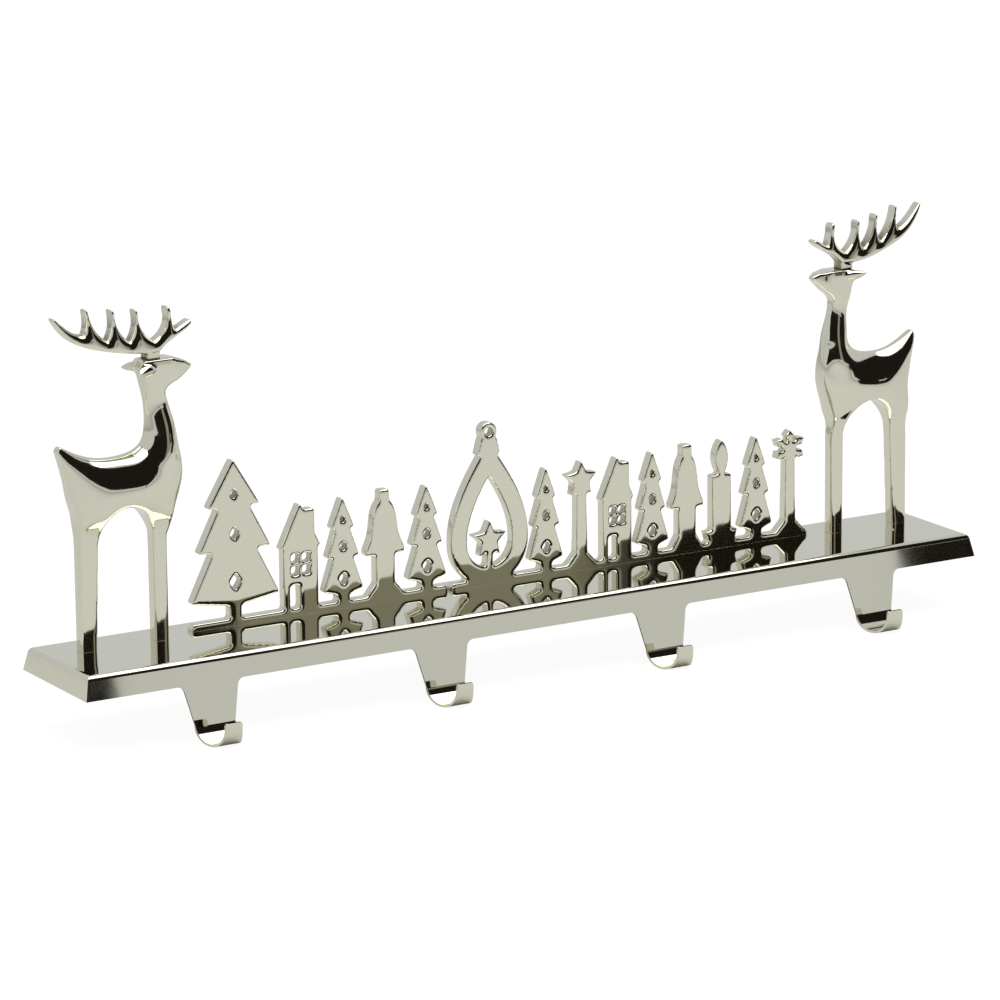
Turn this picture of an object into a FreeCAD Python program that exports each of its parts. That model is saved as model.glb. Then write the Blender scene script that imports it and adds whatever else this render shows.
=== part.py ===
import FreeCAD, Part
import math
import os

from FreeCAD import Vector

# Mantel stocking holder, in millimetres.
# X runs along the tray, the front is -Y and +Z is up.
# The origin is the middle of the tray's footprint, on the mantel top that the feet stand on.
# The tray rests on five rubber feet, and its front flange hangs over the mantel's edge.

SIZES = {
    # folded sheet tray
    "tray_length": 520.0,
    "tray_depth": 65.6,
    "sheet_gauge": 1.2,
    "flange_drop": 12.0,
    "flange_flare": 2.5,
    "fold_radius": 2.0,
    # hooks, cut and curled from the front flange
    "hook_count": 4,
    "hook_pitch": 130.0,
    "hook_root_width": 30.6,
    "hook_narrowing": 0.43,
    "hook_root_fillet": 4.0,
    "hook_tab_length": 20.0,
    "hook_curl_radius": 9.4,
    "hook_lip_height": 2.8,
    "hook_lip_corner": 1.3,
    # rubber feet
    "foot_radius": 7.0,
    "foot_inset": 13.0,
    "foot_proud": 0.8,
    "foot_edge": 0.7,
    # reindeer castings
    "deer_left_margin": 42.0,
    "deer_right_margin": 38.0,
    "deer_back_margin": 22.1,
    "deer_stance": 47.9,
    "deer_left_back": 35.5,
    "deer_right_back": 31.6,
    "deer_left_front": 38.1,
    "deer_right_front": 33.9,
    "deer_left_nose": 39.6,
    "deer_right_nose": 34.6,
    "deer_left_nod": 2.4,
    "deer_right_nod": 0.0,
    "deer_height": 142.2,
    "leg_thickness": 7.4,
    "body_thickness": 20.0,
    "neck_thickness": 9.2,
    "head_thickness": 12.0,
    "nose_thickness": 3.4,
    "ear_span": 22.0,
    "ear_length": 12.4,
    "ear_height": 6.4,
    "ear_root_drop": 3.8,
    "ear_left_tip_drop": 5.3,
    "ear_right_tip_drop": 1.6,
    # antler racks
    "antler_left_seat": 17.9,
    "antler_left_front": 21.5,
    "antler_left_back": 53.3,
    "antler_left_sweep": 0.0,
    "antler_right_seat": 13.6,
    "antler_right_front": 20.3,
    "antler_right_back": 47.4,
    "antler_right_sweep": 4.8,
    "antler_rise": 26.0,
    "antler_thickness": 9.4,
    "antler_lift": 2.0,
    "stub_width": 7.0,
    "stub_thickness": 7.6,
    "tenon_radius": 2.2,
    "tenon_length": 5.0,
    "tenon_gap": 0.05,
    # frieze castings
    "frieze_back_margin": 20.0,
    "frieze_thickness": 6.5,
    "frieze_rail": 3.6,
    "frieze_low": 58.4,
    "frieze_high": 85.5,
    "frieze_left_share": 0.403,
    "frieze_gap": 2.0,
    "nose_gap": 0.1,
    "frieze_corner": 0.8,
    "tall_tree_width": 50.0,
    "bauble_width": 46.0,
    "stem_width": 7.0,
    "bauble_band": 9.6,
    "tree_cut": 4.4,
    # screws from below
    "screw_radius": 1.45,
    "screw_head_radius": 2.8,
    "screw_head_height": 2.2,
    "screw_socket_radius": 1.2,
    "screw_socket_depth": 1.3,
    "thread_gap": 0.05,
    "clearance_gap": 0.25,
    "deer_screw_reach": 8.0,
    "frieze_screw_reach": 6.0,
}

doc = FreeCAD.newDocument("stocking_holder")
sheet = doc.addObject("Spreadsheet::Sheet", "Sizes")
for row, (alias, value) in enumerate(SIZES.items(), start=1):
    sheet.set(f"A{row}", alias)
    sheet.set(f"B{row}", str(value))
    sheet.setAlias(f"B{row}", alias)
doc.recompute()


def size(alias):
    """The value of one named size in the sheet."""
    return float(sheet.get(alias))


# Levels and places that follow from the sizes
rim_z = size("foot_proud")
top_z = rim_z + size("flange_drop")
under_z = top_z - size("sheet_gauge")
front_y = -size("tray_depth") / 2
slope = math.atan2(size("flange_flare"), size("flange_drop"))
flange_skew = size("sheet_gauge") / math.cos(slope)
deer_y = -front_y - size("deer_back_margin")
frieze_y = -front_y - size("frieze_back_margin")
frieze_mid_y = frieze_y + size("frieze_thickness") / 2
left_deer_x = -size("tray_length") / 2 + size("deer_left_margin")
right_deer_x = size("tray_length") / 2 - size("deer_right_margin")

TOP = "Sizes.foot_proud + Sizes.flange_drop"
UNDER = "Sizes.foot_proud + Sizes.flange_drop - Sizes.sheet_gauge"
SKEW = "Sizes.sheet_gauge * sqrt(Sizes.flange_drop^2 + Sizes.flange_flare^2) / Sizes.flange_drop"


def add(kind, name, label=None, **bindings):
    """A document object whose properties are bound to sheet expressions."""
    obj = doc.addObject(kind, name)
    obj.Label = label or name
    for prop, expression in bindings.items():
        obj.setExpression(prop.replace("__", "."), expression)
    return obj


def held(name, shape):
    """A shape made in code, such as a drawn outline, kept as an object of the document."""
    obj = doc.addObject("Part::Feature", name)
    obj.Shape = shape
    return obj


def face_of(edges):
    return Part.Face(Part.Wire(Part.__sortEdges__(edges)))


def line(start, end):
    return Part.LineSegment(start, end).toShape()


def arc(start, middle, end):
    return Part.Arc(start, middle, end).toShape()


def spline(points, start=None, end=None):
    """A smooth curve through points; with start and end, it sets off and arrives along those directions."""
    curve = Part.BSplineCurve()
    if start is None:
        curve.interpolate(points)
    else:
        curve.interpolate(Points=points, InitialTangent=start, FinalTangent=end)
    return curve.toShape()


def upright(points):
    """Points drawn as (x, z) on the XZ plane."""
    return [Vector(x, 0, z) for x, z in points]


def outline(corners, lift=upright):
    """A face from straight edges and rounded corners.
    Each corner is (x, z) or (x, z, radius); a radius makes a tangent arc there."""
    points = lift([corner[:2] for corner in corners])
    radii = [corner[2] if len(corner) > 2 else 0 for corner in corners]
    ends = []
    edges = []
    for i, point in enumerate(points):
        if not radii[i]:
            ends.append((point, point))
            continue
        back = (points[i - 1] - point).normalize()
        ahead = (points[(i + 1) % len(points)] - point).normalize()
        half = back.getAngle(ahead) / 2
        reach = radii[i] / math.tan(half)
        centre = point + (back + ahead).normalize() * (radii[i] / math.sin(half))
        middle = centre + (point - centre).normalize() * radii[i]
        ends.append((point + back * reach, point + ahead * reach))
        edges.append(arc(ends[i][0], middle, ends[i][1]))
    for i in range(len(points)):
        start = ends[i - 1][1]
        if (ends[i][0] - start).Length > 1e-6:
            edges.append(line(start, ends[i][0]))
    return face_of(edges)


def extrusion(name, profile, direction, length, symmetric=False, **bindings):
    """A profile pushed along a direction by a length that the sheet gives."""
    obj = doc.addObject("Part::Extrusion", name)
    obj.Base = profile
    obj.DirMode = "Custom"
    obj.Dir = direction
    obj.Solid = True
    obj.Symmetric = symmetric
    obj.setExpression("LengthFwd", length)
    for prop, expression in bindings.items():
        obj.setExpression(prop.replace("__", "."), expression)
    return obj


def boolean(kind, name, base, tool, label=None):
    obj = doc.addObject(kind, name)
    obj.Base = base
    obj.Tool = tool
    obj.Label = label or name
    return obj


def fused(name, shapes, label=None):
    obj = doc.addObject("Part::MultiFuse", name)
    obj.Shapes = shapes
    obj.Refine = True
    obj.Label = label or name
    return obj


def rounded(name, base, radius, chosen, label=None):
    """A fillet on the edges of base that chosen(edge) picks."""
    doc.recompute()
    obj = doc.addObject("Part::Fillet", name)
    obj.Base = base
    obj.Edges = [(i, radius, radius) for i, edge in enumerate(base.Shape.Edges, start=1) if chosen(edge)]
    obj.Label = label or name
    return obj


def post(name, radius, height, x, y, z, label=None):
    """An upright cylinder; every argument is an expression."""
    return add("Part::Cylinder", name, label, Radius=radius, Height=height,
               Placement__Base__x=x, Placement__Base__y=y, Placement__Base__z=z)


# Screws: where they stand along the tray, seen from below

front_leg_s = 18.9 * size("deer_stance") / 47.9
rear_leg_s = -21.2 * size("deer_stance") / 47.9
deer_screws = [left_deer_x + rear_leg_s, left_deer_x + front_leg_s,
               right_deer_x - front_leg_s, right_deer_x - rear_leg_s]


# Tray: top plate and sloping flanges as one hollow wedge, open below

def tray_block(name, inset, top, bottom, half_length, half_depth):
    """A block whose four sides lean out like the flanges do. All arguments but the name are expressions."""
    block = add("Part::Wedge", name)
    lean = "Sizes.flange_flare / Sizes.flange_drop"
    spread = f"({TOP} - ({bottom})) * {lean} - ({inset})"
    peak = f"({TOP} - ({top})) * {lean} - ({inset})"
    block.setExpression("Xmin", f"-({half_length}) - ({spread})")
    block.setExpression("Xmax", f"({half_length}) + ({spread})")
    block.setExpression("X2min", f"-({half_length}) - ({peak})")
    block.setExpression("X2max", f"({half_length}) + ({peak})")
    block.setExpression("Zmin", f"-({half_depth}) - ({spread})")
    block.setExpression("Zmax", f"({half_depth}) + ({spread})")
    block.setExpression("Z2min", f"-({half_depth}) - ({peak})")
    block.setExpression("Z2max", f"({half_depth}) + ({peak})")
    block.setExpression("Ymin", bottom)
    block.setExpression("Ymax", top)
    block.Placement = FreeCAD.Placement(Vector(0, 0, 0), FreeCAD.Rotation(Vector(1, 0, 0), 90))
    return block


def at_height(height):
    """Picks straight edges that lie at one height."""
    return lambda edge: all(abs(vertex.Z - height) < 1e-4 for vertex in edge.Vertexes)


HALF_LENGTH = "Sizes.tray_length / 2"
HALF_DEPTH = "Sizes.tray_depth / 2"
outer_block = tray_block("tray_outside", "0", TOP, "Sizes.foot_proud", HALF_LENGTH, HALF_DEPTH)
inner_block = tray_block("tray_inside", SKEW, UNDER, "Sizes.foot_proud - 1", HALF_LENGTH, HALF_DEPTH)
outer_folded = rounded("tray_outside_folds", outer_block, size("fold_radius"), at_height(top_z))
inner_radius = size("fold_radius") - size("sheet_gauge")
inner_folded = rounded("tray_inside_folds", inner_block, inner_radius, at_height(under_z))
shell = boolean("Part::Cut", "tray_shell", outer_folded, inner_folded)


# Hooks: the flange's own slope, a curl forwards and up, and a short lip

def hook_strip_face():
    """The sheet's section through a hook, in the YZ plane."""
    down = Vector(0, -math.sin(slope), -math.cos(slope))
    forward = Vector(0, -math.cos(slope), math.sin(slope))
    gauge = size("sheet_gauge")
    radius = size("hook_curl_radius")
    front_rim = Vector(0, front_y - size("flange_flare"), rim_z)
    back_rim = front_rim + Vector(0, flange_skew, 0)
    front_end = front_rim + down * size("hook_tab_length")
    back_end = front_end - forward * gauge
    centre = front_end + forward * radius
    turn = -(math.pi + slope) / 2
    bottom = Vector(0, math.cos(turn), math.sin(turn))
    lip_up = Vector(0, 0, size("hook_lip_height"))
    inner_lip = centre + Vector(0, -radius, 0)
    outer_lip = centre + Vector(0, -radius - gauge, 0)
    edges = [
        line(back_rim, front_rim),
        line(front_rim, front_end),
        arc(front_end, centre + bottom * radius, inner_lip),
        line(inner_lip, inner_lip + lip_up),
        line(inner_lip + lip_up, outer_lip + lip_up),
        line(outer_lip + lip_up, outer_lip),
        arc(outer_lip, centre + bottom * (radius + gauge), back_end),
        line(back_end, back_rim),
    ]
    return face_of(edges), front_end, outer_lip + lip_up


strip_face, curl_start, lip_top = hook_strip_face()
hook_xs = [size("hook_pitch") * (i - (size("hook_count") - 1) / 2) for i in range(int(size("hook_count")))]
curl_length = (math.pi - slope) * size("hook_curl_radius")
root_half = size("hook_root_width") / 2
narrowing = size("hook_narrowing") / 2
curl_half = root_half - narrowing * size("hook_tab_length")
lip_half = curl_half - narrowing * (curl_length + size("hook_lip_height"))


def hook_front_face(x):
    """One hook seen from the front: fillets at the flange, then straight sides that close in."""
    fillet = size("hook_root_fillet")
    low = curl_start.z - 3 * size("hook_curl_radius")
    lean = math.atan2(root_half - curl_half, rim_z - curl_start.z)
    reach = fillet * math.tan((math.pi / 2 - lean) / 2)
    edges = []
    ends = []
    for side in (-1, 1):
        root = Vector(x + side * root_half, 0, rim_z)
        start = root + Vector(side * reach, 0, 0)
        end = root + Vector(-side * math.sin(lean), 0, -math.cos(lean)) * reach
        centre = start + Vector(0, 0, -fillet)
        middle = centre + (root - centre).normalize() * fillet
        edges.append(arc(start, middle, end))
        curl = Vector(x + side * curl_half, 0, curl_start.z)
        foot = Vector(x + side * curl_half, 0, low)
        edges.append(line(end, curl))
        edges.append(line(curl, foot))
        ends.append((start, foot))
    edges.append(line(ends[0][0], ends[1][0]))
    edges.append(line(ends[0][1], ends[1][1]))
    return face_of(edges)


def hook_plan_face(x):
    """One hook seen from above: it goes on closing in round the curl, to the end of the lip."""
    wide = root_half + 3 * size("hook_root_fillet")
    back = front_y + size("tray_depth") / 4
    corners = [(x - wide, back), (x - wide, curl_start.y), (x - curl_half, curl_start.y),
               (x - lip_half, lip_top.y), (x + lip_half, lip_top.y), (x + curl_half, curl_start.y),
               (x + wide, curl_start.y), (x + wide, back)]
    return outline(corners, lambda flat: [Vector(px, py, lip_top.z + 1) for px, py in flat])


strip = extrusion("hook_strip", held("hook_section", strip_face), Vector(1, 0, 0), "Sizes.tray_length", True)
front_tool = extrusion("hook_fronts", held("hook_front_outlines", Part.Compound([hook_front_face(x) for x in hook_xs])),
                       Vector(0, 1, 0), "Sizes.tray_depth * 2", True)
plan_tool = extrusion("hook_plans", held("hook_plan_outlines", Part.Compound([hook_plan_face(x) for x in hook_xs])),
                      Vector(0, 0, 1), "Sizes.hook_curl_radius * 8 + Sizes.hook_tab_length * 2", True)
hooks_tapered = boolean("Part::Common", "hooks_tapered", strip, front_tool)
hooks_narrowed = boolean("Part::Common", "hooks_narrowed", hooks_tapered, plan_tool)
doc.recompute()


def lip_corner(edge):
    """The short edges through the sheet at the two top corners of a lip."""
    flat = all(abs(vertex.Z - lip_top.z) < 1e-4 for vertex in edge.Vertexes)
    along = edge.Vertexes[-1].Point - edge.Vertexes[0].Point
    return flat and abs(along.y) > abs(along.x)


hooks = rounded("hooks", hooks_narrowed, size("hook_lip_corner"), lip_corner)
tray_blank = fused("tray_blank", [shell, hooks])


# Frieze motifs: flat outlines on the XZ plane, standing on x, with z from the tray's top

def mirrored(x, half):
    """Corners of a shape that is alike left and right of x, from those of its right half, bottom to top."""
    right = [(x + c[0], *c[1:]) for c in half]
    left = [(x - c[0], *c[1:]) for c in reversed(half) if c[0] > 0]
    return right + left


def diamond(x, z, half):
    return outline([(x - half, z), (x, z - half * 1.3), (x + half, z), (x, z + half * 1.3)])


def tree(x, width, height):
    """A fir of three tiers on a trunk, with a diamond cut through each tier."""
    corner = size("frieze_corner")
    trunk = size("stem_width") / 2
    tiers = mirrored(x, [(trunk, 0), (trunk, height * 0.12), (width * 0.5, height * 0.16, corner),
                         (width * 0.25, height * 0.45), (width * 0.41, height * 0.45, corner),
                         (width * 0.18, height * 0.71), (width * 0.3, height * 0.71, corner), (0, height, corner)])
    shape = outline(tiers)
    for level, share in ((0.26, 1.0), (0.55, 0.8), (0.79, 0.6)):
        shape = shape.cut(diamond(x, height * level, size("tree_cut") * share * (width / height) ** 0.5))
    return [shape]


def house(x, width, height):
    """A gabled house with a chimney, a door and a cross-barred window."""
    half = width * 0.43
    eaves = height * 0.6
    walls = outline([(x - half, 0), (x + half, 0), (x + half, eaves), (x - half, eaves)])
    roof = outline([(x - width * 0.5, eaves), (x + width * 0.5, eaves), (x, height, size("frieze_corner"))])
    chimney = outline([(x + half * 0.35, eaves), (x + half * 0.85, eaves), (x + half * 0.85, height * 0.93),
                       (x + half * 0.35, height * 0.93)])
    door = outline([(x - half * 0.62, size("frieze_rail")), (x - half * 0.08, size("frieze_rail")),
                    (x - half * 0.08, height * 0.27), (x - half * 0.62, height * 0.27)])
    pane = half * 0.24
    middle = height * 0.45
    shape = walls.cut(door)
    for side, rise in ((-1, -1), (-1, 1), (1, -1), (1, 1)):
        left = x + side * pane * 1.3 - pane
        low = middle + rise * pane * 1.3 - pane
        shape = shape.cut(outline([(left, low), (left + 2 * pane, low), (left + 2 * pane, low + 2 * pane),
                                   (left, low + 2 * pane)]))
    return [shape, roof, chimney]


def star_points(x, z, outer, inner, points=5):
    turn = math.pi / points
    corners = []
    for i in range(2 * points):
        radius = inner if i % 2 else outer
        angle = math.pi / 2 + i * turn
        corners.append((x + radius * math.cos(angle), z + radius * math.sin(angle)))
    return corners


def star(x, width, height):
    """A five-pointed star on a post with a spread foot."""
    outer = width / 2
    post_half = size("stem_width") / 2
    middle = height - outer
    return [outline(mirrored(x, [(width * 0.42, 0), (width * 0.42, height * 0.07), (post_half, height * 0.16),
                                 (post_half * 0.8, middle)])),
            outline(star_points(x, middle, outer, outer * 0.5))]


def snowflake(x, width, height):
    """Six arms that each carry a diamond, on a post with a spread foot."""
    reach = width / 2
    arm = size("stem_width") * 0.2
    post_half = size("stem_width") / 2
    middle = height - reach
    faces = [outline(mirrored(x, [(width * 0.42, 0), (width * 0.42, height * 0.07), (post_half, height * 0.16),
                                  (post_half * 0.8, middle)])),
             outline(star_points(x, middle, reach * 0.45, reach * 0.38, 6))]
    for i in range(6):
        spoke = outline([(-arm, 0), (arm, 0), (arm, reach * 0.8), (0, reach), (-arm, reach * 0.8)])
        leaf = outline([(0, reach * 0.42), (reach * 0.3, reach * 0.68), (0, reach * 0.9), (-reach * 0.3, reach * 0.68)])
        for face in (spoke, leaf):
            face.rotate(Vector(0, 0, 0), Vector(0, 1, 0), 60 * i)
            face.translate(Vector(x, 0, middle))
            faces.append(face)
    return faces


def candle(x, width, height):
    """A stout candle with its flame, in a dish."""
    half = width * 0.29
    wax = height * 0.68
    low = wax + height * 0.02
    bulge = Vector(x - width * 0.2, 0, low + height * 0.12)
    tip = Vector(x, 0, height)
    foot = Vector(x, 0, wax - height * 0.02)
    return [outline([(x - half, 0), (x + half, 0), (x + half, wax, size("frieze_corner")),
                     (x - half, wax, size("frieze_corner"))]),
            outline([(x - width * 0.34, 0), (x + width * 0.34, 0), (x + width * 0.49, height * 0.17),
                     (x - width * 0.49, height * 0.17)]),
            face_of([arc(foot, bulge, tip), arc(tip, Vector(2 * x - bulge.x, 0, bulge.z), foot)])]


def bell(x, width, height):
    """A bell with its clapper below the mouth, on a broad post with a spread foot."""
    half = width * 0.49
    lip = height * 0.42
    mouth = height * 0.47
    crown = height * 0.92
    left = [Vector(x - half, 0, mouth), Vector(x - half * 0.72, 0, height * 0.6),
            Vector(x - half * 0.55, 0, height * 0.8), Vector(x, 0, crown)]
    right = [Vector(2 * x - point.x, 0, point.z) for point in left]
    dome = [spline(left, Vector(0.5, 0, 1), Vector(1, 0, 0.1)), spline(right, Vector(-0.5, 0, 1), Vector(-1, 0, 0.1)),
            line(left[0], Vector(x - half, 0, lip)), line(Vector(x - half, 0, lip), Vector(x + half, 0, lip)),
            line(Vector(x + half, 0, lip), right[0])]
    knob = height * 0.05
    corner = size("frieze_corner")
    post_half = size("stem_width") * 0.8
    stand = mirrored(x, [(width * 0.45, 0), (width * 0.45, height * 0.07), (post_half, height * 0.17),
                         (post_half, lip + knob)])
    return [outline(stand), face_of(dome),
            outline([(x - knob, crown - knob), (x + knob, crown - knob), (x + knob, height, corner),
                     (x - knob, height, corner)])]


def drop(x, half, low, high):
    """A drop shape: a round bowl that closes to a point at the top."""
    bowl = low + half
    shoulder = bowl + (high - bowl) * 0.5
    left = [Vector(x - half, 0, bowl), Vector(x - half * 0.72, 0, shoulder), Vector(x, 0, high)]
    right = [Vector(2 * x - point.x, 0, point.z) for point in left]
    curve_l = Part.BSplineCurve()
    curve_l.interpolate(Points=left, InitialTangent=Vector(0, 0, 1), FinalTangent=Vector(0.55, 0, 0.8))
    curve_r = Part.BSplineCurve()
    curve_r.interpolate(Points=right, InitialTangent=Vector(0, 0, 1), FinalTangent=Vector(-0.55, 0, 0.8))
    return face_of([arc(left[0], Vector(x, 0, low), right[0]), curve_l.toShape(), curve_r.toShape()])


def bauble(x, width, height):
    """A tall open drop with a cap and a ring on top, and a star standing inside."""
    half = width / 2
    band = size("bauble_band")
    crown = height * 0.885
    ring = height - crown
    hoop = drop(x, half, 0, crown).cut(drop(x, half - band, band, crown - band * 1.9))
    cap = outline([(x - ring * 0.7, crown - ring * 0.7), (x + ring * 0.7, crown - ring * 0.7),
                   (x + ring * 0.5, crown + ring * 0.12), (x - ring * 0.5, crown + ring * 0.12)])
    eye = Vector(x, 0, height - ring * 0.5)
    loop = Part.Face(Part.Wire(Part.Circle(eye, Vector(0, 1, 0), ring * 0.5).toShape()))
    hole = Part.Face(Part.Wire(Part.Circle(eye, Vector(0, 1, 0), ring * 0.24).toShape()))
    inner = half - band
    middle = band + inner * 1.05
    stem = size("stem_width") * 0.3
    return [hoop, cap, loop.cut(hole),
            outline(star_points(x, middle, inner * 0.8, inner * 0.38)),
            outline([(x - stem, band * 0.5), (x + stem, band * 0.5), (x + stem, middle), (x - stem, middle)])]


def frieze(name, start, end, feature, feature_width, motifs, screws_at):
    """One flat casting: a tall motif, a row of low ones and the rail that joins their feet."""
    low = size("frieze_low")
    rail = size("frieze_rail")
    feature_x = start + feature_width / 2
    row_start = start + feature_width
    pitch = (end - row_start) / len(motifs)
    xs = [row_start + pitch * (i + 0.5) for i in range(len(motifs))]
    faces = feature(feature_x, feature_width, size("frieze_high"))
    for motif, x in zip(motifs, xs):
        faces += motif(x, pitch * 0.95, low)
    faces.append(outline([(start, 0), (end, 0), (end, rail * 0.6), (end - rail * 0.4, rail),
                          (start + rail * 0.4, rail), (start, rail * 0.6)]))
    blocks = [face.extrude(Vector(0, size("frieze_thickness"), 0)) for face in faces]
    plate = held(name + "_plate", blocks[0].multiFuse(blocks[1:]).removeSplitter())
    plate.Placement = FreeCAD.Placement(Vector(0, frieze_y, top_z), FreeCAD.Rotation())
    places = [xs[i] if i >= 0 else feature_x for i in screws_at]
    holes = [post(f"{name}_thread_{i}", "Sizes.screw_radius + Sizes.thread_gap", "Sizes.frieze_screw_reach + 1",
                  f"{x}", f"{frieze_mid_y}", f"{TOP} - 1") for i, x in enumerate(places)]
    threads = fused(name + "_threads", holes)
    boolean("Part::Cut", name + "_tapped", plate, threads, name)
    return places


left_start = left_deer_x + size("deer_left_front") + size("nose_gap")
right_end = right_deer_x - size("deer_right_front") - size("nose_gap")
split = left_start + size("frieze_left_share") * (right_end - left_start)
left_end = split - size("frieze_gap") / 2
right_start = split + size("frieze_gap") / 2
left_screws = frieze("frieze_left", left_start, left_end, tree, size("tall_tree_width"),
                     [house, tree, bell, tree], [-1, 3])
right_screws = frieze("frieze_right", right_start, right_end, bauble, size("bauble_width"),
                      [tree, star, house, tree, bell, candle, tree, snowflake], [0, 3, 6])
frieze_screws = left_screws + right_screws


# Reindeer: half of each is one solid that keeps to the outlines from the side, the front and above

def drawn(points, kx, kz):
    """Points of a standard drawing, stretched to the size in the sheet."""
    return [Vector(x * kx, 0, z * kz) for x, z in points]


def deer_side_face(front, back, nose, nod):
    """The reindeer from the side, its nose towards +X, with z from the tray's top. front, back and nose are
    how far chest, tail and nose reach from the middle between its feet, and nod lowers the nose."""
    kf = front / 36.0
    kn = nose / 36.0
    kb = back / 33.4
    ks = size("deer_stance") / 47.9
    kz = size("deer_height") / 142.2
    legs = drawn([(-25.4, 0), (-17.1, 0), (15.2, 0), (22.5, 0), (22.6, 52)], ks, kz)
    chest = drawn([(23.0, 58), (24.2, 65), (26.2, 71), (28.5, 77), (30.4, 84), (30.3, 91.5), (29.0, 101),
                   (27.3, 109.5), (25.0, 118), (22.7, 126)], kf, kz)
    chin = drawn([(24.2, 129), (27.4, 131.4 - nod * 0.4), (31.6, 134.8 - nod * 0.8), (35.6, 138.2 - nod)], kn, kz)
    brow = drawn([(36.0, 139.4 - nod), (32.0, 141.4 - nod * 0.7), (25.0, 142.2)], kn, kz)
    nape = drawn([(11.0, 142.2), (10.8, 137.4), (11.6, 132), (12.7, 123), (13.3, 114), (13.1, 106.6),
                  (11.3, 101), (7.2, 97.4), (1, 95.5)], kf, kz)
    saddle = drawn([(-6, 95.0), (-13, 95.6), (-19.5, 97.6), (-25.6, 100.6), (-31.6, 104.4)], kb, kz)
    rump = drawn([(-33.4, 102.4), (-31.2, 96.6), (-29.3, 90), (-27.8, 83), (-26.6, 76)], kb, kz)
    thigh = drawn([(-25.6, 68), (-25.2, 60), (-25.2, 50)], ks, kz)
    arch = drawn([(-14.9, 53), (-13.4, 60), (-9.8, 66.3), (-4.6, 70.2), (0.6, 71), (6.2, 69.4),
                  (11.2, 65), (14.2, 58.6), (15.1, 52)], ks, kz)
    edges = [spline([legs[4]] + chest, legs[4] - legs[3], chest[-1] - chest[-2]), spline([chest[-1]] + chin),
             line(chin[-1], brow[0]), line(brow[0], brow[1]), line(brow[1], brow[2]),
             line(brow[-1], nape[0]), spline(nape + saddle), line(saddle[-1], rump[0]),
             spline(rump + thigh, rump[1] - rump[0], legs[0] - thigh[-1]), line(thigh[-1], legs[0]),
             line(legs[0], legs[1]), line(legs[1], arch[0]),
             spline(arch, arch[0] - legs[1], legs[2] - arch[-1]), line(arch[-1], legs[2]),
             line(legs[2], legs[3]), line(legs[3], legs[4])]
    return face_of(edges)


def deer_front_face():
    """Half of the reindeer from the front, on the YZ plane: leg, belly, neck and head."""
    kz = size("deer_height") / 142.2
    leg = size("leg_thickness") / 2
    body = size("body_thickness") / 2
    neck = size("neck_thickness") / 2
    head = size("head_thickness") / 2
    half = [(leg, 0), (leg, 46), (leg + 0.4, 55), (leg + 2.0, 62), (body * 0.84, 68), (body * 0.96, 75),
            (body * 0.96, 81), (body * 0.86, 87.5), (body * 0.7, 93.5), (neck + 1.3, 101), (neck + 0.4, 109),
            (neck, 118), (neck * 1.03, 127), (head * 0.88, 133.5), (head, 138.6), (head * 0.97, 143.5)]
    points = [Vector(0, y, z * kz) for y, z in half]
    foot = Vector(0, 0, points[0].z)
    crown = Vector(0, 0, points[-1].z)
    edges = [line(points[0], points[1]), spline(points[1:], Vector(0, 0, 1), points[-1] - points[-2]),
             line(points[-1], crown), line(crown, foot), line(foot, points[0])]
    return face_of(edges)


def deer_plan_face(front, back, tip):
    """Half of the reindeer from above, on the XY plane: widest at the ribs, narrow at the nose and the tail."""
    kf = front / 36.0
    kb = back / 33.4
    wide = size("body_thickness") / 20
    nose = Vector(tip + 0.5, size("nose_thickness") / 2, 0)
    fore = [(30.5, 4.3), (23, 6.7), (14, 8.8), (3, 9.9)]
    hind = [(-8, 9.7), (-17, 8.3), (-25, 6.2), (-31, 4.3), (-34, 3.2)]
    points = [nose] + [Vector(x * kf, y * wide, 0) for x, y in fore] + [Vector(x * kb, y * wide, 0) for x, y in hind]
    tail = Vector(points[-1].x, 0, 0)
    edges = [spline(points), line(points[-1], tail), line(tail, Vector(nose.x, 0, 0)), line(Vector(nose.x, 0, 0), nose)]
    return face_of(edges)


def ear_shape(front, tip_drop):
    """A leaf-shaped ear that sweeps out and back from inside the head. tip_drop is how far its tip lies
    below the crown."""
    kf = front / 36.0
    root = Vector(15.2 * kf, size("head_thickness") * 0.3, size("deer_height") - size("ear_root_drop"))
    tip = Vector(6.6 * kf, size("ear_span") / 2, size("deer_height") - tip_drop)
    sections = []
    for share, swell in ((0.0, 1.0), (0.55, 0.72), (1.0, 0.08)):
        centre = root + (tip - root) * share
        ahead = centre + Vector(size("ear_length") / 2 * swell, 0, 0)
        above = centre + Vector(0, 0, size("ear_height") / 2 * swell)
        sections.append(Part.Wire(Part.Ellipse(ahead, above, centre).toShape()))
    return Part.makeLoft(sections, True, True)


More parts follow.
